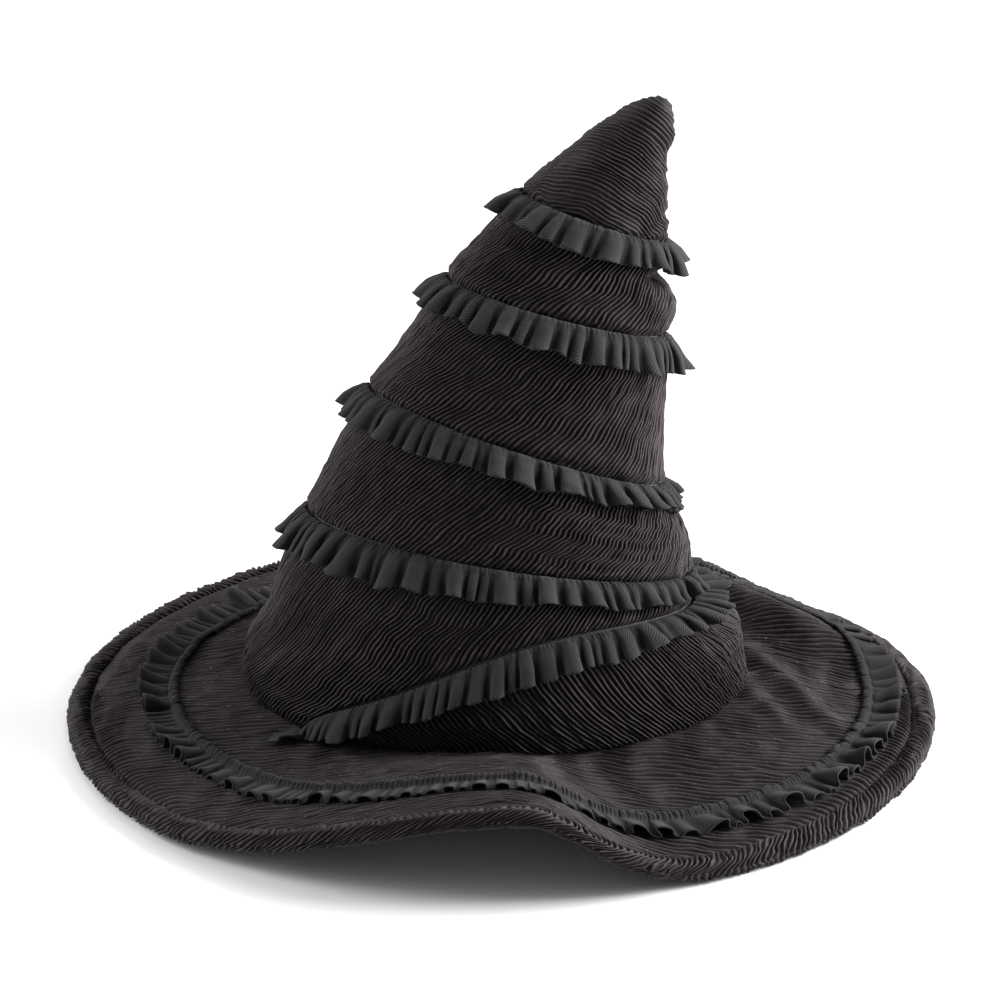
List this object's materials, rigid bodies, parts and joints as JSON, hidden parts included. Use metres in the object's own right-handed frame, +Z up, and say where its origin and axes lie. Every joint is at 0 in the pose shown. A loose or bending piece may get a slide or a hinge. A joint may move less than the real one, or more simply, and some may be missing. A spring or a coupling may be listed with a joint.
{
  "type": "witch hat",
  "caption": "Black witch hat with a crooked cone crown in pleated cloth, gathered ruffles round the crown, and a wide wavy brim with a ruffle and a padded pleated edge.",
  "frame": {"origin": "on the table, under the middle of the hat's overall width and depth", "axes": "+Z up; the tip leans towards +X; -Y is the front of the hat, where the brim edge is lifted"},
  "size_m": [0.4417, 0.4418, 0.3132],
  "materials": {
    "pleated_cloth": "crinkle-pleated satin-faced cloth, black with a soft warm sheen",
    "twill": "matt charcoal twill, soft",
    "foam": "dark open-cell foam interlining, matt",
    "lining": "plain-weave black lining, slight sheen",
    "cotton_tape": "woven cotton tape, matt",
    "sweatband": "ribbed grosgrain band, low sheen",
    "wire": "drawn spring wire"
  },
  "bodies": {
    "root": {"crown_tip_panel": "pleated_cloth", "crown_panel_2": "pleated_cloth", "crown_panel_3": "pleated_cloth", "crown_panel_4": "pleated_cloth", "crown_panel_5": "pleated_cloth", "crown_base_panel": "pleated_cloth", "crown_ruffle_1": "twill", "crown_ruffle_2": "twill", "crown_ruffle_3": "twill", "crown_ruffle_4": "twill", "crown_ruffle_5": "twill", "crown_foam_base": "foam", "crown_foam_lower": "foam", "crown_foam_upper": "foam", "crown_foam_tip": "foam", "crown_lining": "lining", "headsize_tape": "cotton_tape", "sweatband": "sweatband", "brim_cover_top": "pleated_cloth", "brim_core": "foam", "brim_cover_under": "lining", "brim_edge_wire": "wire", "brim_binding": "pleated_cloth", "brim_ruffle": "twill"}
  },
  "joints": []
}
